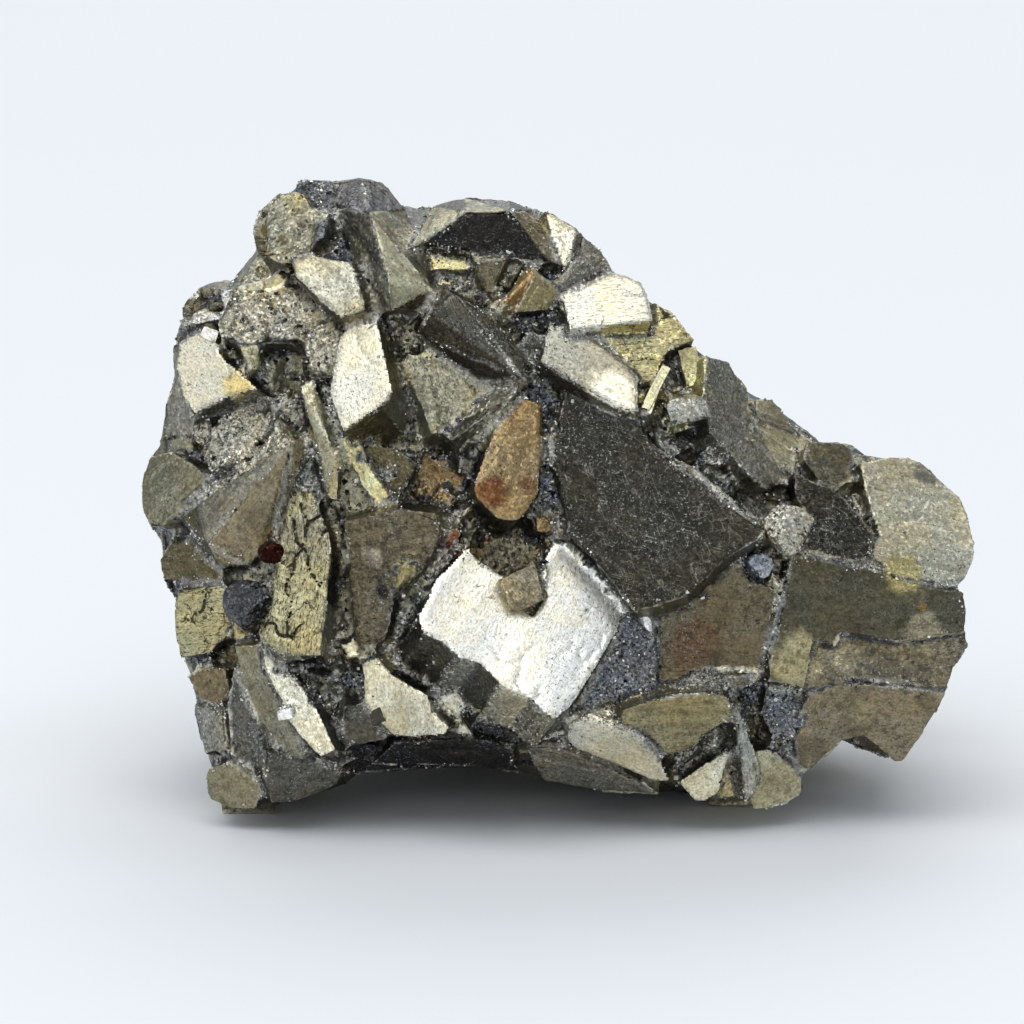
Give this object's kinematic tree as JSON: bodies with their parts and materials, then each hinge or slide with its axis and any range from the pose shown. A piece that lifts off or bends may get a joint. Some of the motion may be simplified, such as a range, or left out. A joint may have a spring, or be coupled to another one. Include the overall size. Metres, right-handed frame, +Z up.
{
  "type": "rough pyrite crystal cluster",
  "caption": "Rough pyrite specimen: cubes with flat faces, ledges and pits, grown into one lump that rests on low feet at the ends and the back.",
  "frame": {"origin": "middle of the stone's bounding box, on the plane that it rests on", "axes": "+X runs along the stone's length to its thinner end, -Y faces the viewer of the picture, +Z is up"},
  "size_m": [0.0416, 0.0338, 0.0315],
  "materials": {
    "pyrite": "satin"
  },
  "bodies": {
    "root": {"pyrite_cluster": "pyrite"}
  },
  "joints": []
}
